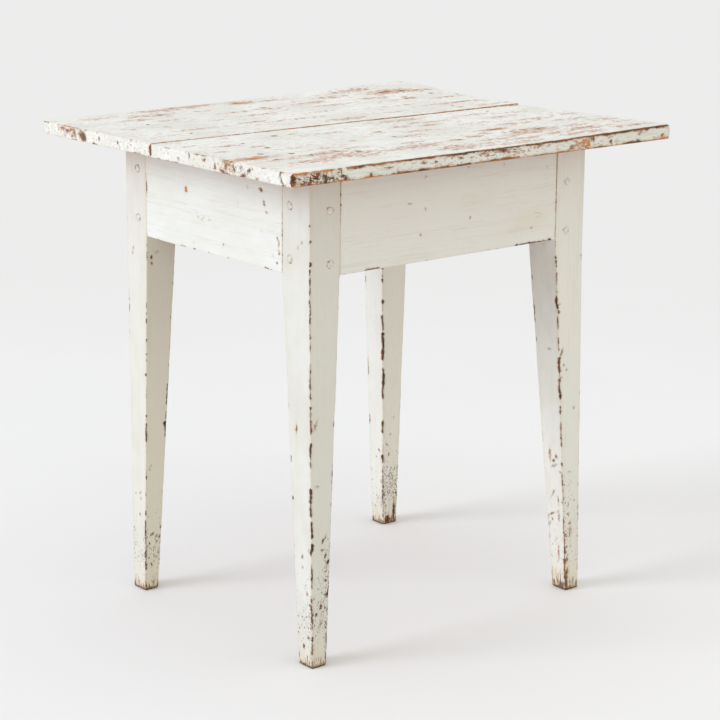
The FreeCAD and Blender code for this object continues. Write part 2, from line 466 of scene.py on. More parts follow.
class Shader:
    """Short ways to add nodes to one material."""

    def __init__(self, name):
        self.material = bpy.data.materials.new(name)
        self.material.use_nodes = True
        self.tree = self.material.node_tree
        self.tree.nodes.clear()
        scaled = self.node("ShaderNodeVectorMath", operation="SCALE")
        self.put(scaled.inputs[0], self.node("ShaderNodeTexCoord").outputs["Object"])
        scaled.inputs["Scale"].default_value = 1 / MILLIMETRE
        self.place = scaled.outputs[0]

    def node(self, kind, **settings):
        """A new node with some of its settings."""
        node = self.tree.nodes.new(kind)
        for name, value in settings.items():
            setattr(node, name, value)
        return node

    def put(self, socket, value):
        """Links a node's result to a socket, or sets a plain value; three numbers are a screen colour."""
        if isinstance(value, Number):
            value = value.socket
        if isinstance(value, bpy.types.NodeSocket):
            self.tree.links.new(value, socket)
        elif socket.type == "RGBA" and len(value) == 3:
            socket.default_value = screen_colour(*value)
        else:
            socket.default_value = value

    def math(self, operation, first, second, clamp=False):
        node = self.node("ShaderNodeMath", operation=operation, use_clamp=clamp)
        self.put(node.inputs[0], first)
        self.put(node.inputs[1], second)
        return Number(self, node.outputs[0])

    def field(self, name):
        """A number stored on the mesh."""
        return Number(self, self.node("ShaderNodeAttribute", attribute_name=name).outputs["Fac"])

    def distance_from(self, place):
        """How far each point is from a place, in millimetres."""
        node = self.node("ShaderNodeVectorMath", operation="DISTANCE")
        self.put(node.inputs[0], self.place)
        self.put(node.inputs[1], place)
        return Number(self, node.outputs["Value"])

    def noise(self, scale, detail=2.0, stretch=(1.0, 1.0, 1.0), shift=0.0, rough=0.5):
        """Noise centred on 0, from about -0.5 to 0.5; scale is in cells per millimetre."""
        place = self.node("ShaderNodeVectorMath", operation="MULTIPLY_ADD")
        for socket, value in zip(place.inputs, (self.place, stretch, (shift, shift, shift))):
            self.put(socket, value)
        node = self.node("ShaderNodeTexNoise")
        self.put(node.inputs["Vector"], place.outputs[0])
        node.inputs["Scale"].default_value = scale
        node.inputs["Detail"].default_value = detail
        node.inputs["Roughness"].default_value = rough
        return Number(self, node.outputs["Fac"]) + -0.5

    def step(self, value, start, end, low=0.0, high=1.0):
        """Turns smoothly from low at start to high at end; start may be above end."""
        if start > end:
            start, end, low, high = end, start, high, low
        node = self.node("ShaderNodeMapRange", interpolation_type="SMOOTHSTEP")
        names = ("Value", "From Min", "From Max", "To Min", "To Max")
        for name, given in zip(names, (value, start, end, low, high)):
            self.put(node.inputs[name], given)
        return Number(self, node.outputs["Result"])

    def mix(self, share, first, second):
        """One colour where share is 0, the other where it is 1."""
        node = self.node("ShaderNodeMix", data_type="RGBA")
        colours = [socket for socket in node.inputs if socket.type == "RGBA"]
        self.put(node.inputs["Factor"], share)
        self.put(colours[0], first)
        self.put(colours[1], second)
        return [socket for socket in node.outputs if socket.type == "RGBA"][0]

    def finish(self, colour, roughness, height, depth=1.0, specular=0.4):
        """Ends the material: colour, roughness, and a bump of that height in millimetres."""
        bump = self.node("ShaderNodeBump")
        bump.inputs["Distance"].default_value = MILLIMETRE
        bump.inputs["Strength"].default_value = depth
        self.put(bump.inputs["Height"], height)
        surface = self.node("ShaderNodeBsdfPrincipled")
        self.put(surface.inputs["Base Color"], colour)
        self.put(surface.inputs["Roughness"], roughness)
        self.put(surface.inputs["Specular IOR Level"], specular)
        self.put(surface.inputs["Normal"], bump.outputs["Normal"])
        self.put(self.node("ShaderNodeOutputMaterial").inputs["Surface"], surface.outputs[0])
        return self.material


# ---------------------------------------------------------------- materials

def along_grain(grain, share):
    """A stretch that draws noise out along one axis."""
    return tuple(share if axis == grain else 1.0 for axis in range(3))


def bare_wood_colour(shader, fibres, mottle):
    """Old wood under the paint, from dark brown to orange as its tone says."""
    tone = shader.field("tone") + mottle * 1.1 + fibres * 0.5
    fibrous = shader.step(fibres, -0.25, 0.25)
    dark = shader.mix(fibrous, (52, 30, 19), (104, 64, 41))
    light = shader.mix(fibrous, (172, 98, 44), (212, 142, 78))
    return shader.mix(shader.step(tone, 0.12, 0.9), dark, light)


def rubbed_paint(shader, grain, shift, base, fibres, mottle, ragged, hair):
    """Paint with fine worn hairlines, and rubbed through in streaks where the mesh says so."""
    rub = shader.field("rub")
    hairs = shader.noise(0.23, 5.0, along_grain(grain, 0.36), shift + 21.0, 0.7)
    hairlines = shader.step(hairs + mottle * 0.4 + rub * 0.16, 0.04, 0.17) * hair
    base = shader.mix(hairlines, base, (184, 146, 124))
    broken = rub * 0.75 + fibres * 0.7 + hairs * 4.0 + ragged * 1.6
    rubbed = shader.step(broken, 0.3, 0.6) * shader.step(rub, 0.05, 0.3, 0.0, 0.97)
    worn = shader.mix(shader.step(hairs, -0.06, 0.16), (206, 172, 150), (140, 88, 62))
    return shader.mix(rubbed, base, worn)


def painted_wood(name, grain, shift, coat, streak=0.05, hair=0.05):
    """Old brushed paint over brown wood, bare where the mesh says so, with flakes, rubbed streaks and
    painted shade on the sides that face the front.
    """
    shader = Shader(name)
    lines = along_grain(grain, 0.035)
    ragged = shader.noise(0.22, 4.0, along_grain(grain, 0.6), shift, 0.62)
    fine = shader.noise(1.05, 3.0, along_grain(grain, 0.7), shift)
    fibres = shader.noise(0.9, 3.0, lines, shift)
    bands = shader.noise(0.16, 3.0, along_grain(grain, 0.02), shift)
    clouds = shader.noise(0.011, 4.0, shift=shift)
    mottle = shader.noise(0.06, 4.0, along_grain(grain, 0.35), shift)
    streaks = shader.noise(0.42, 2.0, along_grain(grain, 0.12), shift + 9.0)
    dots = shader.noise(0.46, 4.0, along_grain(grain, 0.6), shift + 40.0, 0.65)
    dirt = shader.field("dirt")

    edge = shader.field("depth") + ragged * 6.5 + fine * 7.0 + fibres * 1.4 + streaks * dirt * 9.0
    spotted = shader.step(dots + shader.field("speck") * 0.13, 0.275, 0.29)
    bare = shader.math("MAXIMUM", shader.step(edge, 0.18, -0.18), spotted)

    usual, thin, front = coat
    base = shader.mix(shader.step(clouds + mottle * 0.7, -0.16, 0.16), thin, usual)
    # Painted shade: sides that face the front, away from the key lamp, get a darker copy of the coat
    base = shader.mix(shader.field("facing") * 0.8, base, front)
    strokes = shader.step(fibres + bands * 0.8, -0.03, -0.26)
    base = shader.mix(strokes * (streak * 6), base, (198, 192, 178))
    base = rubbed_paint(shader, grain, shift, base, fibres, mottle, ragged, hair)
    base = shader.mix(shader.math("MULTIPLY", dirt, 0.8, clamp=True), base, (208, 184, 138))
    base = shader.mix(shader.step(edge, 2.4, 0.2) * 0.5, base, (176, 158, 134))
    grime = shader.step(dirt + streaks * 2.4 + ragged * 1.4, 0.42, 0.95) * shader.step(dirt, 0.12, 0.3)
    base = shader.mix(grime, base, (106, 80, 60))
    colour = shader.mix(bare, base, bare_wood_colour(shader, fibres, mottle))

    roughness = bare * 0.32 + mottle * 0.25 + 0.5
    brushed = shader.noise(0.6, 3.0, lines, shift + 3.0)
    height = bare * -0.32 + brushed * 0.24 + fibres * 0.08 + mottle * 0.25
    return shader.finish(colour, roughness, height, depth=0.7)


def rusted_iron():
    """Dark hand-struck iron with rust, and rags of the old paint."""
    shader = Shader("rusted_iron")
    rust = shader.noise(0.9, 4.0, rough=0.65)
    pits = shader.noise(2.6, 3.0)
    paint = shader.step(shader.noise(0.7, 3.0, shift=12.0), 0.12, 0.18)
    colour = shader.mix(shader.step(rust, -0.15, 0.2), (66, 34, 24), (132, 74, 50))
    colour = shader.mix(paint, colour, (190, 178, 160))
    return shader.finish(colour, shader.step(rust, -0.3, 0.3, 0.55, 0.85), pits * 0.3)


# The coats differ a little from piece to piece. Screen colours of the usual coat, of where it's thinner,
# and of a darker copy that paints shade on the side that faces the front
COATS = {
    "front_left_leg": ((213, 212, 207), (207, 205, 197), (206, 205, 196)),
    "front_right_leg": ((221, 220, 215), (216, 214, 206), (217, 216, 208)),
    "rear_left_leg": ((215, 213, 206), (210, 207, 199), (209, 204, 188)),
    "rear_right_leg": ((222, 221, 216), (217, 215, 208), (219, 216, 205)),
    "front_apron": ((223, 221, 216), (218, 215, 206), (218, 218, 212)),
    "rear_apron": ((220, 218, 212), (215, 212, 203), (217, 215, 207)),
    "left_apron": ((223, 225, 223), (219, 220, 215), (221, 222, 218)),
    "right_apron": ((220, 219, 213), (215, 213, 204), (217, 215, 207)),
    "pegs": ((218, 217, 211), (212, 210, 202), (215, 213, 206)),
    "top": ((229, 229, 226), (215, 214, 208), (213, 215, 207)),
}


# ---------------------------------------------------------------- legs

def leg_place(leg):
    """How a leg's box maps to its real shape: straight beside the aprons, tapered below them."""
    post_low, post_high = POSTS[leg]
    foot_low, foot_high = FEET[leg]
    post = post_high - post_low

    def sizes(points):
        share = np.clip(points[:, 2] / APRON_LOW, 0.0, 1.0)[:, None]
        return foot_low + (post_low - foot_low) * share, (foot_high - foot_low) * (1 - share) + post * share

    def place(points):
        low, size = sizes(points)
        return np.column_stack([low + points[:, :2] / post * size, points[:, 2]])

    def taper(points):
        return sizes(points)[1] / post

    return (*post, UNDERSIDE), place, taper


LEG_MARKS = {
    "front_left_leg": {
        "tone": 0.14,
        "edges": {
            "left front": (
                (646, 650, 2.2), (622, 628, 3), (602, 605, 2), (590, 598, 3), (553, 588, 1.5),
                (470, 548, 1.6), (400, 455, 1.8), (350, 392, 2), (300, 340, 1.9), (229, 273, 3.4, -0.3),
                (197, 224, 2.4), (171, 191, 3.4, -0.2), (120, 160, 2), (60, 110, 1.8), (20, 50, 1.9),
            ),
            "right front": (
                (355, 372, 1.8), (330, 340, 2.2), (270, 290, 1.9), (236, 244, 3), (100, 118, 2.2),
                (20, 60, 1.6),
            ),
            "left rear": ((300, 312, 2.6), (245, 252, 3.4), (160, 166, 2)),
        },
        "chips": {
            "front": (
                (-239, 157, 10, 5, 0.2, 55), (-241, 108, 7, 5, 0.15, 20), (-252, 92, 4, 7, 0.15),
                (-247, 192, 9, 2.6, 0.2, 55), (-250, 176, 5, 3, 0.3), (-244, 168, 3, 5, 0.2),
                (-255, 64, 8, 2.5, 0.3, 60), (-261, 82, 4, 4, 0.2), (-259, 273, 4, 2.4, 0.3),
                (-244, 130, 4, 3, 0.2), (-261, 364, 10, 3, 0.0, 70),
            ),
            "left": (
                (-214, 150, 3, 3.4, 0.6), (-224, 112, 3, 4, 0.6), (-227, 46, 4, 5, 0.3),
                (-217, 30, 4, 7, 0.2), (-206, 613, 2.2, 3, 0.4), (-214, 622, 3.4, 3.4, 0.8),
                (-201, 354, 2.8, 9, 0.5),
            ),
        },
        "flaky": {
            "front": ((-241, 150, 30, 130, 0.85), (-250, 70, 34, 100, 0.35), (-262, 450, 14, 420, 0.35)),
            "left": ((-218, 70, 30, 110, 0.3), (-226, 250, 14, 420, 0.35)),
        },
    },
    "front_right_leg": {
        "tone": 0.3,
        "edges": {
            "left front": (
                (560, 566, 2), (540, 546, 3.2), (528, 534, 2), (500, 522, 1.4), (462, 486, 3),
                (430, 455, 1.9), (396, 420, 1.6), (362, 387, 3.4), (318, 352, 3), (292, 308, 2.2),
                (240, 282, 1.6), (208, 216, 3.2), (150, 200, 1.4), (60, 130, 1.4), (20, 56, 2),
            ),
            "right front": (
                (534, 545, 3), (318, 326, 1.6), (280, 300, 1.6), (120, 140, 1.6), (30, 60, 1.6),
            ),
            "left rear": (
                (500, 508, 3.4), (430, 474, 3.4), (402, 412, 3.4), (240, 262, 1.8), (206, 214, 3.6),
            ),
        },
        "chips": {
            "front": (
                (214, 458, 4, 5, 0.4), (222, 392, 3, 8, 0.5, -20), (228, 372, 3, 3, 0.4),
                (234, 364, 3, 3, 0.4), (222, 352, 4, 2.5, 0.4, 30), (252, 300, 3, 3, 0.3),
                (214, 470, 3, 2, 0.5), (240, 92, 3, 3, 0.2), (250, 112, 4, 2.4, 0.2), (246, 128, 4, 3, 0.2),
            ),
            "left": (
                (-215, 214, 5, 3, 0.4, -30), (-212, 396, 4, 2.5, 0.3), (-216, 206, 8, 2.4, 0.3, -30),
                (-209, 124, 9, 2, 0.25, -30), (-208, 222, 3, 12, 0.6), (-222, 222, 4, 6, 0.5),
                (-224, 150, 2.4, 9, 0.4), (-224, 124, 2.4, 10, 0.4), (-222, 60, 2.4, 12, 0.5),
                (-212, 158, 8, 2, 0.3, -60),
            ),
        },
        "stains": {
            "front": (
                (252, 98, 8, 26, 0.6, 10), (244, 50, 12, 12, 0.6), (248, 34, 8, 22, 0.5, -20),
                (244, 20, 40, 30, 0.3),
            ),
            "left": ((-214, 20, 40, 30, 0.3),),
        },
        "flaky": {
            "front": ((244, 170, 34, 130, 0.7), (244, 70, 34, 80, 0.35), (214, 430, 20, 260, 0.5)),
            "left": ((-215, 110, 30, 180, 0.3),),
        },
    },
    "rear_left_leg": {
        "tone": 0.14,
        "edges": {
            "left front": (
                (535, 548, 1.3), (448, 454, 2.4), (407, 413, 2.2), (385, 391, 2.4), (352, 358, 2.8),
                (246, 278, 2), (184, 192, 2.8), (126, 135, 2.8), (34, 120, 2.1),
            ),
            "right front": (
                (491, 497, 2.6), (437, 443, 2.8), (414, 420, 2.4), (386, 398, 3.6), (362, 368, 2.6),
                (300, 336, 4.6, 0.0), (277, 292, 4, 0.0), (249, 275, 5, 0.0), (216, 222, 3), (157, 163, 3),
                (142, 148, 2.6), (98, 105, 3),
            ),
            "left rear": ((464, 484, 4, 0.4), (446, 460, 4.4, 0.4), (413, 420, 4, 0.4), (120, 126, 3.4)),
        },
        "chips": {
            "front": (
                (-262, 539, 3.4, 4.4, 0.1), (-262, 530, 3, 3.4, 0.1), (-252, 546, 3, 2.4, 0.7),
                (-262, 92, 7, 2.4, 0.3, 45), (-254, 88, 4, 3, 0.2, 50), (-248, 85, 3.6, 4.4, 0.1),
                (-254, 53, 4, 4.4, 0.1),
            ),
            "left": ((201, 549, 2.4, 3.6, 0.5), (203, 541, 2, 2.4, 0.5)),
        },
        "flaky": {
            "front": ((-261, 50, 30, 110, 0.5), (-252, 300, 30, 200, 0.25)),
            "left": ((190, 50, 40, 120, 0.45),),
        },
    },
    "rear_right_leg": {
        "tone": 0.14,
        "edges": {
            "left front": (
                (456, 462, 2.4), (434, 442, 2.8), (397, 406, 3), (350, 378, 3.2, 0.1), (298, 348, 3.8, 0.0),
                (228, 284, 3.4, 0.1), (166, 191, 2.6), (112, 130, 3), (40, 108, 1.9),
            ),
            "left rear": ((426, 440, 3.6), (260, 300, 2.4), (178, 196, 3.6)),
        },
        "chips": {"front": ((252, 18, 5, 36, -0.2), (238, 8, 12, 14, 0.3), (236, 128, 3, 4, 0.2))},
        "flaky": {
            "front": ((243, 70, 44, 110, 0.8),),
            "left": ((190, 25, 60, 60, 0.5),),
        },
        "dents": {"front": ((229, 33, 2.4, 22, 1.6),)},
    },
}


def with_scattered_chips(marks, random, sides, spans, count, largest, tone):
    """The marks with small random chips added on some sides; spans gives the range of each axis."""
    chips = dict(marks.get("chips", {}))
    for side in sides:
        first, second = IN_PLANE[side]
        for _ in range(count):
            along = random.uniform(*spans[first])
            across = random.uniform(*spans[second])
            size = largest * random.uniform(0.35, 1.0)
            shape = random.uniform(0.4, 1.0)
            chip = (along, across, size, size * shape, tone, random.uniform(0, 180))
            chips[side] = (*chips.get(side, ()), chip)
    return {**marks, "chips": chips}


def leg_timber(leg, seed):
    """A leg, with its mortises and its wear."""
    size, place, taper = leg_place(leg)
    random = np.random.default_rng(seed)
    spans = (*zip(*FEET[leg]), (6, 210))
    marks = with_scattered_chips(LEG_MARKS[leg], random, ("right", "rear"), spans, 9, 6.0, 0.25)
    marks = with_scattered_chips(marks, random, ("left", "front"), spans, 5, 3.6, 0.25)
    timber = Timber(leg, 2, size, place, seed, marks, taper)
    timber.foot = True
    timber.ragged = 1.0
    timber.quiet = (2, APRON_LOW - 4, APRON_LOW + 4)
    on_low_side = ("left" in leg, "front" in leg)
    for axis, across in ((0, 1), (1, 0)):
        start = TENON_SETBACK if on_low_side[across] else size[across] - TENON_SETBACK - TENON_THICKNESS
        low = [0.0, 0.0, APRON_LOW + TENON_SHOULDER_LOW]
        high = [0.0, 0.0, UNDERSIDE - TENON_SHOULDER_HIGH]
        ends = (TENON_STOP, size[axis] + 1) if on_low_side[axis] else (-1, size[axis] - TENON_STOP)
        low[axis], high[axis] = ends
        low[across], high[across] = start, start + TENON_THICKNESS
        timber.add_block(timber.rooms, low, high)
    return timber


def add_peg_rims(timber, groups):
    """Marks the peg ends that show on a leg, and sets the grid closer round them."""
    low_corner = (*POSTS[timber.name][0], 0.0)
    for side, places in groups:
        first, second = IN_PLANE[side]
        for centre in places:
            timber.pegs.append((side, centre[first], centre[second]))
            for axis in (first, second):
                timber.fine[axis].append((centre[axis] - low_corner[axis], PEG_RADIUS + 2.2))


# ---------------------------------------------------------------- aprons

APRON_MARKS = {
    "front_apron": {
        "edges": {
            "front low": (
                (-173, -143, 2.4, 0.15), (118, 190, 2.6, 0.1), (186, 194, 4.4, 0.0), (-60, -52, 1),
                (60, 66, 1),
            ),
            "left front": ((640, 720, 0.6),),
            "right front": ((612, 720, 1.7, 0.45), (575, 612, 0.9, 0.2)),
        },
        "chips": {"front": ((190, 573, 6, 4, 0.0),)},
        "stains": {"front": ((150, 610, 90, 36, 0.22, 10), (30, 650, 70, 20, 0.12))},
    },
    "left_apron": {
        "edges": {
            "left low": ((-140, -128, 2.8), (62, 78, 1.8), (36, 44, 1.2), (1, 7, 2.4), (-46, -40, 2)),
            "left rear": ((640, 656, 2),),
            "left front": ((575, 660, 0.5),),
        },
        "chips": {
            "left": (
                (60, 659, 6, 9, 0.75), (-122, 683, 7, 4, 0.4, 30), (-129, 664, 4.4, 7, 0.5),
                (-162, 612, 2.4, 7, 0.6), (-163, 599, 3.6, 4.4, 0.4), (163, 648, 3, 17, 0.6),
                (-158, 583, 2, 3, 0.3),
            ),
        },
        "rubs": {"left": ((62, 645, 4, 18, 0.4), (-127, 673, 5, 16, 0.35), (20, 622, 60, 14, 0.18))},
    },
    "rear_apron": {
        "edges": {
            "rear low": ((-120, -80, 1.6), (90, 130, 1.8), (10, 16, 2.6)),
        },
        "chips": {"rear": ((-60, 660, 7, 5, 0.6, 20), (110, 640, 4, 8, 0.4))},
        "rubs": {"rear": ((-40, 630, 60, 10, 0.4),)},
    },
    "right_apron": {
        "edges": {
            "right low": ((-100, -70, 1.8), (40, 52, 2.4), (100, 130, 1.4)),
        },
        "chips": {"right": ((-50, 655, 6, 8, 0.6), (90, 620, 5, 4, 0.4))},
        "rubs": {"right": ((10, 640, 50, 9, 0.4),)},
    },
}

# Each apron: its outer side, the legs at its two ends, and the axis it runs along
APRONS = {
    "front_apron": ("front", "front_left_leg", "front_right_leg", 0),
    "rear_apron": ("rear", "rear_left_leg", "rear_right_leg", 0),
    "left_apron": ("left", "front_left_leg", "rear_left_leg", 1),
    "right_apron": ("right", "front_right_leg", "rear_right_leg", 1),
}
INNER_SIDE = {"front": "rear", "rear": "front", "left": "right", "right": "left"}


def apron_timber(apron, seed):
    """An apron between two legs, with a tenon on each end."""
    outer, first_leg, last_leg, axis = APRONS[apron]
    across = 1 - axis
    start = POSTS[first_leg][1][axis] + JOINT_GAP
    length = POSTS[last_leg][0][axis] - (TIGHT_GAP if apron == "left_apron" else JOINT_GAP) - start
    outward = 1 if outer in ("right", "rear") else 0
    faces = [POSTS[leg][outward][across] for leg in (first_leg, last_leg)]
    size = [0.0, 0.0, UNDERSIDE - APRON_LOW]
    size[axis], size[across] = length, APRON_THICKNESS

    def place(points):
        real = points + (0.0, 0.0, APRON_LOW)
        real[:, axis] += start
        real[:, across] += faces[0] + (faces[1] - faces[0]) * points[:, axis] / length
        real[:, across] -= outward * APRON_THICKNESS
        return real

    spans = ((-200, 200), (-160, 150), (APRON_LOW + 4, UNDERSIDE - 4))
    random = np.random.default_rng(seed)
    marks = with_scattered_chips(APRON_MARKS[apron], random, (outer,), spans, 10, 2.6, 0.2)
    timber = Timber(apron, axis, size, place, seed, marks)
    timber.round = 0.6
    timber.edge_age = 0.05
    timber.quiet = (2, APRON_LOW - 4, APRON_LOW - 3)
    timber.bare_sides = (INNER_SIDE[outer], "high")
    low_face = APRON_THICKNESS - TENON_SETBACK - TENON_THICKNESS if outward else TENON_SETBACK
    for end, leg in enumerate((first_leg, last_leg)):
        depth = POSTS[leg][1][axis] - POSTS[leg][0][axis] - TENON_STOP - TENON_END_PLAY
        low = [0.0, 0.0, TENON_SHOULDER_LOW + TENON_EDGE_PLAY]
        high = [0.0, 0.0, size[2] - TENON_SHOULDER_HIGH - TENON_EDGE_PLAY]
        low[axis], high[axis] = ((-depth, TENON_ROOT), (length - TENON_ROOT, length + depth))[end]
        low[across], high[across] = low_face + TENON_FACE_PLAY, low_face + TENON_THICKNESS - TENON_FACE_PLAY
        timber.add_block(timber.tongues, low, high)
        timber.exact[axis].append((0.0, length)[end])
    reach = [value for low, high in timber.tongues for value in (low[axis], high[axis])]
    timber.reach[axis] = (min(reach), max(reach))
    return timber


# ---------------------------------------------------------------- top boards

def end_places(board):
    """The plan corners of a board, from its CAD outline: front left, front right, rear right, rear left."""
    places = cad_corners(board)[:, :2]
    corners = []
    for direction in ((-1, -1), (1, -1), (1, 1), (-1, 1)):
        farthest = places[np.argmax(places @ np.array(direction))]
        corners.append(farthest + np.array(direction) * BOARD_CORNER_INSET)
    return corners


def front_warp(real):
    """The front board: thicker towards its right end, where it has also sagged beside the joint."""
    x, y = real[:, 0], real[:, 1]
    share = (real[:, 2] - UNDERSIDE) / (TOP - UNDERSIDE)
    thicker = 3.2 * smooth(x, 60, 356) * smooth(y, -90, -315) * share
    return thicker - 1.2 * smooth(x, 290, 356) * smooth(y, -90, -5)


def rear_warp(real):
    """The rear board: lifted along its rear edge and at its right end."""
    x, y = real[:, 0], real[:, 1]
    corner = 5.6 * smooth(x, 60, 350) * smooth(y, 130, 311)
    edge = 0.8 * smooth(x, -80, 60) * smooth(y, 205, 315)
    joint = 0.8 * smooth(x, 120, 356) * smooth(y, 110, 10)
    return corner + edge + joint


def warp_of(node):
    """The warp of a board, or of the board that a nail group holds."""
    return front_warp if node.startswith("front") else rear_warp


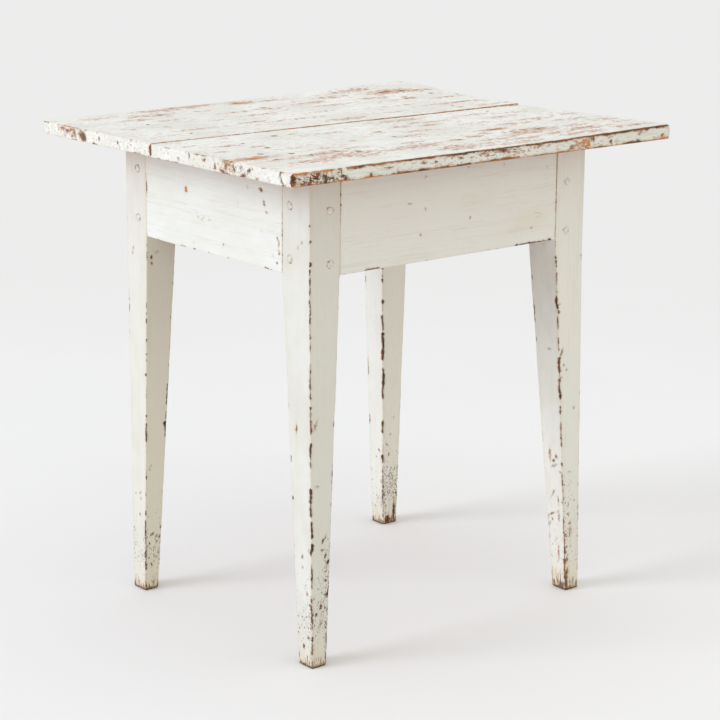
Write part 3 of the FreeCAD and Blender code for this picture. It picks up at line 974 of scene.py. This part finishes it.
# Streaks are rubbed through on the top face, as (x, y, length, width, strength) of their most worn part
BOARD_MARKS = {
    "front_top_board": {
        "edges": {
            "front high": (
                (-366, -338, 3.6, 0.8), (-333, -322, 3.6, 0.8), (-318, -296, 3.6, 0.9),
                (-290, -281, 2.6, 0.6), (-276, -190, 3.9, 0.5), (-190, 60, 3.5, 0.36), (56, 352, 3.6, 0.42),
            ),
            "front low": (
                (-364, 354, 2.9, 0.65), (-196, -164, 4.4, 0.55), (-148, -130, 4.2, 0.4),
                (-120, -92, 4.1, 0.45), (-78, -50, 4.2, 0.45), (-46, 44, 4.7, 0.5), (90, 110, 3.6, 0.65),
                (130, 150, 3.2, 0.7), (196, 214, 3.4, 0.6), (250, 292, 4.4, 0.4), (318, 354, 4, 1.2),
            ),
            "left front": ((720, 742, 6, 0.15),),
            "right front": ((720, 742, 2.8, 0.4),),
            "left high": (
                (-300, -286, 1.9, 0.4), (-190, -160, 1.6, 0.6), (-143, -137, 1.6), (-124, -100, 1.4),
                (-40, -24, 1.4),
            ),
            "left low": (
                (-212, -200, 3), (-182, -160, 2.4), (-60, -48, 1.8), (-36, -26, 2.2), (-16, -6, 2),
            ),
            "left rear": ((720, 742, 3.4, 0.35),),
            "rear high": ((-366, -240, 1.6, 0.4), (-240, -60, 1.4, 0.4), (-60, 352, 1.7, 0.5)),
            "right high": ((-300, -60, 1.6),),
        },
        "chips": {
            "left": (
                (-172, 736, 18, 3.6, 0.6, 12), (-121, 734, 4, 4, 0.4), (-145, 727, 4.6, 8, 0.4),
                (-170, 731, 5, 9, 0.4, 20), (-188, 730, 4.4, 9, 0.28, -30), (-204, 734, 6, 3.4, 0.5),
                (-222, 732, 11, 4, 0.38, -25), (-209, 724, 11, 4.4, 0.48), (-164, 724, 12, 3.4, 0.48, 10),
                (-58, 728, 3, 3.4, 0.4), (-84, 737, 2.6, 8, 0.48), (-240, 723, 4, 3, 0.5),
                (-289, 736, 2.6, 9, 0.23, 15), (-292, 728, 3, 9, 0.28, -15), (-297, 722, 6, 3, 0.38),
            ),
            "front": (
                (-324, 735, 8, 5, 0.33, 20), (-336, 730, 4, 8, 0.28), (-339, 723, 9, 5, 0.33),
                (-310, 725, 12, 4, 0.33, 35), (-314, 732, 8, 4, 0.28, -30), (-309, 722, 6, 5, 0.38),
                (-281, 729, 9, 3, 0.38), (-276, 724, 8, 5, 0.38, 30), (-284, 736, 3, 5, 0.38),
                (-233, 724, 4, 8, 0.18, -25), (-354, 732, 9, 3, 0.28, 20), (-352, 725, 10, 3, 0.28, -20),
                (-345, 737, 6, 3, 0.38), (-300, 729, 5, 3, 0.33), (-297, 724, 4, 3, 0.33),
                (-116, 731, 5, 3.6, 0.28), (-138, 733, 7, 3, 0.5), (-70, 732, 5, 2.6, 0.38),
                (-25, 735, 12, 2.6, 0.48), (10, 735, 18, 2.6, 0.23, 5), (148, 728, 9, 5, 0.38),
                (228, 728, 5, 4.4, 0.28), (339, 727, 6, 4, 0.33), (-204, 732, 10, 2.4, 0.5),
                (-186, 727, 3, 3.4, 0.28), (60, 731, 4, 3, 0.38), (290, 733, 5, 2.6, 0.38),
                (158, 733, 13, 2.6, 1.3, -25), (172, 732, 17, 4, 1.3, 12), (181, 729, 5, 8, 1, 30),
                (166, 729, 12, 2.6, 1.1, 40), (176, 736, 6, 2.6, 1.1, 60), (187, 734, 3, 6, 0.6, -40),
                (148, 726, 14, 2.6, 0.48, 15), (192, 735, 4, 6, 0.38), (176, 725, 8, 3, 0.38),
            ),
            "high": (
                (-255, -116, 9, 8, 0.4), (-297, -155, 8, 7, 0.45), (-261, -177, 9, 6, 0.45),
                (-174, -219, 9, 7, 0.4), (-44, -142, 7, 6, 0.5), (-179, -33, 10, 8, 0.4),
                (10, -224, 8, 5, 0.3), (121, -178, 26, 5, 0.5), (176, -214, 16, 6, 0.5),
                (-328, -182, 36, 10, 1), (-33, -93, 8, 5, 0.4), (52, -212, 12, 4, 0.5),
            ),
        },
        "rubs": {
            "high": ((-250, -301, 210, 20, -1.2), (-90, -170, 90, 70, -0.5)),
            "front": ((0, 734, 200, 5, 0.48),),
        },
        "stains": {"left": ((-172, 731, 30, 10, 0.35),)},
        "flaky": {
            "front": (
                (-330, 729, 70, 26, 1.9), (-292, 726, 60, 22, 1), (172, 729, 44, 18, 1.5),
                (-140, 724, 160, 10, 0.9), (0, 725, 120, 12, 0.9), (240, 728, 120, 12, 0.5),
                (20, 735, 60, 8, 0.8), (0, 731, 740, 26, 0.55),
            ),
            "left": (
                (-175, 731, 70, 22, 1.5), (-120, 732, 60, 20, 0.7), (-215, 728, 60, 16, 0.8),
                (-296, 724, 16, 10, 1.5), (-40, 730, 70, 20, 0.35),
            ),
        },
        "streaks": (
            (-289, -70, 40, 8, 0.75), (-258, -98, 26, 8, 0.6), (-192, -167, 24, 8, 0.6),
            (-257, -11, 16, 7, 0.6), (-145, -34, 18, 8, 0.5), (-330, -180, 66, 18, 1.1),
            (-298, -210, 60, 9, 0.8), (-262, -240, 80, 10, 0.8), (-285, -250, 60, 9, 0.6),
            (-214, -208, 60, 18, 0.75), (-198, -232, 90, 24, 0.8), (-180, -250, 50, 14, 0.7),
            (75, -20, 80, 14, 0.7), (70, -54, 18, 8, 0.8), (78, -83, 40, 11, 0.75), (28, -75, 40, 10, 0.65),
            (-33, -93, 16, 10, 0.9), (-76, -232, 66, 24, 0.75), (-127, -240, 26, 10, 0.8),
            (-35, -274, 66, 26, 0.7), (5, -222, 26, 10, 0.85), (49, -212, 26, 10, 0.85),
            (82, -200, 18, 10, 0.85), (22, -271, 32, 9, 0.75), (121, -178, 54, 12, 1.1),
            (221, -85, 60, 14, 0.65), (160, -217, 84, 22, 1.05), (244, -225, 40, 14, 0.75),
            (325, -205, 50, 18, 0.6), (98, -268, 60, 10, 0.65), (331, -125, 30, 10, 0.55),
            (-120, -138, 14, 8, 0.7), (-20, -150, 50, 9, 0.5), (140, -110, 60, 8, 0.45),
            (280, -60, 50, 10, 0.5), (60, -290, 90, 12, 0.6), (200, -285, 80, 12, 0.6),
            (300, -280, 60, 12, 0.6), (-230, -140, 50, 8, 0.45), (-330, -110, 30, 8, 0.45),
            (-90, -60, 50, 8, 0.4), (-330, -40, 36, 8, 0.4), (250, -130, 70, 10, 0.7),
            (290, -170, 60, 14, 0.7), (190, -150, 60, 10, 0.65), (130, -235, 70, 14, 0.9),
            (240, -255, 80, 14, 0.8), (170, -262, 50, 10, 0.75), (110, -60, 50, 9, 0.6),
            (200, -40, 60, 9, 0.6), (20, -120, 50, 9, 0.6), (-150, -190, 40, 9, 0.6),
            (-240, -205, 50, 12, 0.75), (-60, -200, 40, 9, 0.6), (340, -240, 40, 12, 0.7),
            (60, -250, 60, 12, 0.75),
        ),
    },
    "rear_top_board": {
        "edges": {
            "left front": ((720, 742, 5.4, 0.4),),
            "left rear": ((720, 742, 2.6),),
            "left high": ((200, 262, 1.5, 0.5), (60, 68, 1.4), (284, 300, 1.6)),
            "left low": ((150, 166, 2.8), (206, 222, 2.2), (40, 60, 1.6)),
            "rear high": ((-360, -220, 1.6), (-150, -60, 2.6), (-20, 60, 2.2), (200, 366, 2.6)),
            "rear low": ((-300, -200, 1.8), (-40, 120, 2.2), (180, 240, 3.4)),
            "front high": ((-366, -160, 1.9, 0.5), (-160, 40, 2.1, 0.5), (40, 352, 2.6, 0.6)),
            "right high": ((30, 290, 1.8),),
            "right low": ((60, 120, 3), (200, 260, 2.2)),
        },
        "chips": {
            "left": (
                (214, 732, 3, 11, 0.4), (211, 728, 3, 5, 0.4), (161, 723, 5, 4, 0.3), (147, 731, 4, 4, 0.3),
                (222, 736, 5, 2.6, 0.5), (232, 733, 8, 4, 0.4), (246, 736, 10, 3, 0.5),
                (221, 727, 4, 4, 0.4), (240, 727, 4, 3, 0.4), (98, 731, 4, 3, 0.4),
            ),
            "high": (
                (-3, 224, 10, 8, 0.45), (-184, 249, 10, 7, 0.45), (321, 189, 9, 8, 0.4),
                (358, 160, 9, 7, 0.4), (-8, 286, 22, 8, 0.6), (262, 238, 26, 8, 0.4),
                (292, 232, 16, 7, 0.2), (304, 88, 30, 3.4, 0.4, 6),
            ),
        },
        "rubs": {"left": ((225, 733, 50, 8, 0.4),)},
        "stains": {"left": ((193, 731, 18, 15, 1.15, 20), (186, 728, 13, 13, 1), (216, 733, 7, 12, 0.6))},
        "flaky": {
            "left": (
                (192, 729, 24, 16, 1.2), (232, 733, 50, 14, 1.6), (170, 727, 70, 16, 0.5),
                (100, 729, 60, 14, 0.5), (60, 729, 60, 14, 0.4),
            ),
            "rear": ((-100, 730, 90, 18, 1.2), (160, 730, 60, 18, 1.6)),
            "right": ((200, 730, 60, 18, 1.4), (80, 730, 40, 18, 0.9)),
        },
        "streaks": (
            (-105, 303, 90, 24, 0.9), (-6, 284, 44, 18, 1.1), (-102, 245, 42, 9, 0.65),
            (-67, 204, 60, 10, 0.75), (-10, 205, 44, 12, 0.75), (-202, 193, 46, 8, 0.55),
            (-153, 150, 36, 8, 0.55), (-254, 138, 18, 8, 0.6), (-41, 85, 96, 9, 0.5),
            (270, 236, 74, 24, 1.05), (320, 223, 50, 11, 0.9), (315, 145, 54, 10, 0.7),
            (261, 170, 26, 14, 0.75), (285, 86, 90, 8, 0.8), (330, 78, 26, 10, 0.6), (316, 33, 66, 8, 0.8),
            (251, 38, 16, 8, 0.8), (126, 58, 44, 10, 0.5), (17, 41, 70, 14, 0.65), (110, 180, 70, 10, 0.5),
            (150, 250, 60, 12, 0.5), (60, 280, 60, 12, 0.6), (-280, 270, 60, 12, 0.5),
            (-300, 60, 40, 9, 0.45), (180, 110, 60, 9, 0.5), (40, 130, 50, 9, 0.4),
            (-250, 220, 50, 14, 0.7), (-200, 250, 70, 16, 0.7), (-160, 290, 80, 16, 0.75),
            (-120, 100, 50, 10, 0.55), (-230, 90, 50, 9, 0.5), (-310, 150, 40, 9, 0.5),
            (-60, 160, 60, 10, 0.6), (220, 280, 80, 16, 0.8), (90, 220, 60, 12, 0.65),
            (200, 200, 60, 12, 0.6),
        ),
    },
}


def board_timber(board, bow, seed):
    """A top board: four corners in plan, a bow along its rear edge, and its wear."""
    front_left, front_right, rear_right, rear_left = end_places(board)
    length = max(front_right[0], rear_right[0]) - min(front_left[0], rear_left[0])
    width = (rear_left[1] - front_left[1] + rear_right[1] - front_right[1]) / 2 + bow * 0.66

    def place(points):
        u, v = points[:, 0] / length, points[:, 1] / width
        front = front_left + (front_right - front_left) * u[:, None]
        rear = rear_left + (rear_right - rear_left) * u[:, None]
        rear[:, 1] += bow * 4 * u * (1 - u)
        plan = front + (rear - front) * v[:, None]
        return np.column_stack([plan, UNDERSIDE + points[:, 2]])

    marks = BOARD_MARKS[board]
    streaks = [(x, y, 1.1 * long, 1.5 * wide, strength) for x, y, long, wide, strength in marks["streaks"]]
    rubs = {**marks["rubs"], "high": (*streaks, *marks["rubs"].get("high", ()))}
    timber = Timber(board, 0, (length, width, TOP - UNDERSIDE), place, seed, {**marks, "rubs": rubs})
    timber.round = 1.3
    timber.warp = warp_of(board)
    timber.bare_sides = ("low",)
    return timber


# ---------------------------------------------------------------- pegs and nails

def turned(start, direction, profile, seed, wobble):
    """A round shape along a line: profile gives its rings as (distance along, radius)."""
    toward = Vector(direction).normalized()
    turn = toward.to_track_quat("Z", "Y").to_matrix()
    count = ROUND_SIDES
    angles = np.arange(count) * 2 * math.pi / count
    rim = 1 + wobble * (noise_along(np.cos(angles) * 2 + seed * 5, 1.1, seed) - 0.5)
    corners = [Vector(start) + toward * profile[0][0]]
    for along, radius in profile:
        for angle, out in zip(angles, rim * radius):
            offset = Vector((math.cos(angle) * out, math.sin(angle) * out, along))
            corners.append(Vector(start) + turn @ offset)
    corners.append(Vector(start) + toward * profile[-1][0])
    faces = [(0, 1 + (i + 1) % count, 1 + i) for i in range(count)]
    for ring in range(len(profile) - 1):
        base = 1 + ring * count
        for i in range(count):
            after = (i + 1) % count
            faces.append((base + i, base + after, base + count + after, base + count + i))
    last = 1 + (len(profile) - 1) * count
    faces += [(last + i, last + (i + 1) % count, last + count) for i in range(count)]
    return corners, faces


def peg_profile(length):
    """Rings of a whittled peg with its showing end slightly domed and eased over."""
    proud = [(-PEG_PROUD, 0.9), (-PEG_PROUD, 2.4), (-PEG_PROUD * 0.9, 3.6), (-PEG_PROUD * 0.6, 4.4)]
    shank = [(0.0, 4.85), (1.2, PEG_RADIUS), (length * 0.5, PEG_RADIUS - 0.1)]
    return proud + shank + [(length - 2, PEG_RADIUS - 0.4), (length - 0.4, 3.6), (length, 2.0)]


def nail_profile(length):
    """Rings of a flat-headed nail, from its slightly domed head down to its point."""
    head = [(-0.35, 0.8), (-0.3, 1.8), (-0.1, 2.6), (0.25, 3.0), (1.1, 3.0), (1.5, 2.6)]
    return head + [(1.6, 1.4), (length - 5, 1.4), (length - 0.5, 0.5), (length, 0.2)]


def round_group(name, node, shapes, material):
    """Several round shapes as one object, with fields for its paint, that stands for a CAD node."""
    corners, faces = [], []
    for shape_corners, shape_faces in shapes:
        offset = len(corners)
        corners += [tuple(corner) for corner in shape_corners]
        faces += [tuple(index + offset for index in face) for face in shape_faces]
    corners = np.array(corners)
    piece = mesh_object(name, corners, faces)
    worn = noise(corners, 3.0, len(node) * 7) * 5.0
    write_fields(piece, depth=worn - 0.4, tone=0.35, rub=0.0, speck=0.3, dirt=0.0, facing=0.0)
    piece.data.materials.append(material)
    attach(piece, "root")
    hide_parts(node)
    return piece


def peg_group(node, axis, inward, material, seed):
    """The two pegs of one joint, and the middle of each end that shows."""
    shapes = []
    places = []
    for index, (low, high) in enumerate(solid_places(node, 2)):
        start = (low + high) / 2
        start[axis] = low[axis] if inward > 0 else high[axis]
        direction = [0.0, 0.0, 0.0]
        direction[axis] = inward
        shapes.append(turned(start, direction, peg_profile(high[axis] - low[axis]), seed + index, 0.05))
        places.append(start)
    return round_group(node + "_turned", node, shapes, material), places


def nail_group(node, material, seed):
    """The two nails of one board end, which follow the board's warp."""
    shapes = []
    for index, (low, high) in enumerate(solid_places(node, 1)):
        start = (low + high) / 2
        start[2] = high[2]
        start[2] += float(warp_of(node)(start[None, :])[0])
        shapes.append(turned(start, (0, 0, -1), nail_profile(high[2] - low[2]), seed + index, 0.12))
    return round_group(node + "_forged", node, shapes, material)


# ---------------------------------------------------------------- the table

def add_pegs():
    """Every peg group; gives the peg ends that show on each leg, as (side, places) groups."""
    peg_paint = painted_wood("peg_paint", 2, 11.0, COATS["pegs"])
    pegs = {leg: [] for leg in LEGS}
    seeds = itertools.count(300, 5)
    for apron, (outer, first_leg, last_leg, axis) in APRONS.items():
        inward = 1 if outer in ("front", "left") else -1
        ends = ("left", "right") if axis == 0 else ("front", "rear")
        for end, leg in zip(ends, (first_leg, last_leg)):
            piece, places = peg_group(apron + "_" + end + "_pegs", 1 - axis, inward, peg_paint, next(seeds))
            pegs[leg].append((outer, places))
    return pegs


def build_table():
    """Every visible piece of the table, standing for its CAD node."""
    pegs = add_pegs()
    for seed, leg in enumerate(LEGS, 11):
        timber = leg_timber(leg, seed)
        add_peg_rims(timber, pegs[leg])
        piece = timber.build(painted_wood(leg + "_paint", 2, 0.0, COATS[leg]))
    for seed, apron in enumerate(APRONS, 41):
        paint = painted_wood(apron + "_paint", APRONS[apron][3], 31.0 + seed, COATS[apron], streak=0.055)
        piece = apron_timber(apron, seed).build(paint)
    top_paint = painted_wood("top_paint", 0, 83.0, COATS["top"], streak=0.11, hair=0.8)
    for seed, (board, bow) in enumerate((("front_top_board", 0.0), ("rear_top_board", 8.5)), 71):
        piece = board_timber(board, bow, seed).build(top_paint)
    iron = rusted_iron()
    nail_nodes = sorted(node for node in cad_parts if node.endswith("_nails"))
    for seed, node in enumerate(nail_nodes, 91):
        piece = nail_group(node, iron, seed)


# ---------------------------------------------------------------- camera, floor and light

# Camera: its place in metres, its turn in degrees, and its lens for a sensor of that width, in millimetres
CAMERA_PLACE = (-2.0557, -2.4812, 1.1946)
CAMERA_YAW = 39.82
CAMERA_DOWN = 14.36
CAMERA_ROLL = 0.386
LENS = 106.86
SENSOR = 36.0

# Floor: its side in metres; its colour near and far, in linear light; and its painted light: where it's
# brightest, and how far from there its painted brightness starts and stops falling, in millimetres
FLOOR_SIDE = 60.0
FLOOR_NEAR = (0.808, 0.805, 0.817, 1.0)
FLOOR_FAR = (0.739, 0.731, 0.734, 1.0)
BRIGHTEST_PLACE = (-900.0, -600.0, 0.0)
PAINTED_FALLOFF_START = 900.0
PAINTED_FALLOFF_END = 3600.0

# Light: the way to the warm side of the sky, and the colours of its cool and its warm side, in linear light
WARM_SIDE = (0.4, -0.75, -0.53)
COOL_SKY = (0.865, 0.905, 0.945, 1.0)
WARM_SKY = (1.10, 1.035, 0.89, 1.0)


def add_camera():
    """A long lens, from the front left and a little above."""
    data = bpy.data.cameras.new("camera")
    data.lens = LENS
    data.sensor_width = SENSOR
    data.clip_end = 200.0
    camera = bpy.data.objects.new("camera", data)
    bpy.context.scene.collection.objects.link(camera)
    yaw = Matrix.Rotation(math.radians(-CAMERA_YAW), 4, "Z")
    tilt = Matrix.Rotation(math.radians(90 - CAMERA_DOWN), 4, "X")
    roll = Matrix.Rotation(math.radians(CAMERA_ROLL), 4, "Z")
    camera.matrix_world = Matrix.Translation(CAMERA_PLACE) @ yaw @ tilt @ roll
    bpy.context.scene.camera = camera


def floor_material():
    """Plain pale studio floor with painted light, darker away from its brightest place, and the faintest
    unevenness.
    """
    shader = Shader("floor")
    clouds = shader.noise(0.002, 3.0)
    # Painted light: the floor's colour darkens away from its brightest place, standing in for the lamps'
    # falloff
    far = shader.step(shader.distance_from(BRIGHTEST_PLACE) + clouds * 900.0, PAINTED_FALLOFF_START, PAINTED_FALLOFF_END)
    return shader.finish(shader.mix(far, FLOOR_NEAR, FLOOR_FAR), 0.9, clouds * 0.1, specular=0.0)


def add_floor():
    """A plain pale floor that fills the view."""
    reach = FLOOR_SIDE / 2 / MILLIMETRE
    corners = np.array([(-reach, -reach, 0), (reach, -reach, 0), (reach, reach, 0), (-reach, reach, 0)])
    floor = mesh_object("floor", corners, [(0, 1, 2, 3)])
    floor.data.materials.append(floor_material())


def add_lamp(name, energy, colour, angle, travel, height):
    """A large soft lamp far away: travel is its light's way across the floor, height its angle above it."""
    data = bpy.data.lights.new(name, "SUN")
    data.energy = energy
    data.color = colour
    data.angle = math.radians(angle)
    lamp = bpy.data.objects.new(name, data)
    bpy.context.scene.collection.objects.link(lamp)
    direction = Vector((*travel, -math.tan(math.radians(height))))
    lamp.rotation_euler = direction.to_track_quat("-Z", "Y").to_euler()


def add_light():
    """Soft light from all round, a large cool lamp from the left and a low warm one from the front right."""
    world = bpy.data.worlds.new("studio")
    bpy.context.scene.world = world
    world.use_nodes = True
    tree = world.node_tree
    direction = tree.nodes.new("ShaderNodeTexCoord").outputs["Generated"]
    lean = tree.nodes.new("ShaderNodeVectorMath")
    lean.operation = "DOT_PRODUCT"
    tree.links.new(direction, lean.inputs[0])
    lean.inputs[1].default_value = WARM_SIDE
    share = tree.nodes.new("ShaderNodeMapRange")
    tree.links.new(lean.outputs["Value"], share.inputs["Value"])
    share.inputs["From Min"].default_value = -1.0
    blend = tree.nodes.new("ShaderNodeValToRGB")
    blend.color_ramp.elements[0].color = COOL_SKY
    blend.color_ramp.elements[1].color = WARM_SKY
    tree.links.new(share.outputs["Result"], blend.inputs[0])
    tree.links.new(blend.outputs[0], tree.nodes["Background"].inputs["Color"])
    add_lamp("key", 1.5, (0.96, 1.0, 1.05), 30, (0.948, -0.316), 24.0)
    add_lamp("fill", 0.3, (1.0, 0.97, 0.9), 60, (-0.35, 0.937), 5.0)
    bpy.context.scene.view_settings.view_transform = "Standard"


add_camera()
build_table()
add_floor()
add_light()
